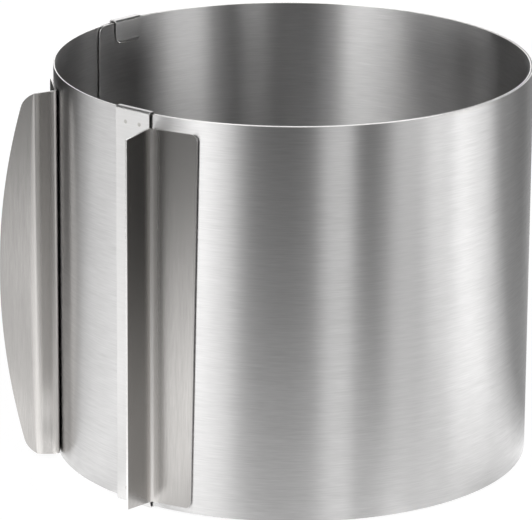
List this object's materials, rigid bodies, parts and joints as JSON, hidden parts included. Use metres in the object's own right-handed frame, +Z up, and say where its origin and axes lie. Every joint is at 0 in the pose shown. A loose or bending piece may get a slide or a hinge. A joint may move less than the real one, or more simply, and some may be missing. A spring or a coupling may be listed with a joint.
{
  "type": "adjustable cake ring",
  "caption": "Tall open steel ring for layer cakes: a springy band wound nearly twice round, set by two upright handles, with guide strips that clasp both rims.",
  "frame": {"origin": "under the middle of the part's box, on the surface that it stands on; the ring's own axis is 9.3 mm to the right of it", "axes": "+Z up along the ring's axis, -Y to the front, where both handles are to the left of the middle, and +X to the right"},
  "size_m": [0.1996, 0.181, 0.1516],
  "materials": {
    "band_steel": "brushed round the band",
    "handle_steel": "satin, brushed upwards",
    "guide_steel": "satin, brushed upwards"
  },
  "bodies": {
    "inner_turn": {"inner_band": "band_steel", "left_handle": "handle_steel", "rear_guide": "guide_steel"},
    "outer_turn": {"outer_band": "band_steel", "right_handle": "handle_steel", "front_guide": "guide_steel"}
  },
  "joints": [
    {"name": "turn_slide", "type": "hinge", "parent": "inner_turn", "child": "outer_turn", "pos_m": [0.00932, 0, 0], "axis": [0, 0, -1], "range_deg": [-34, 30]}
  ]
}
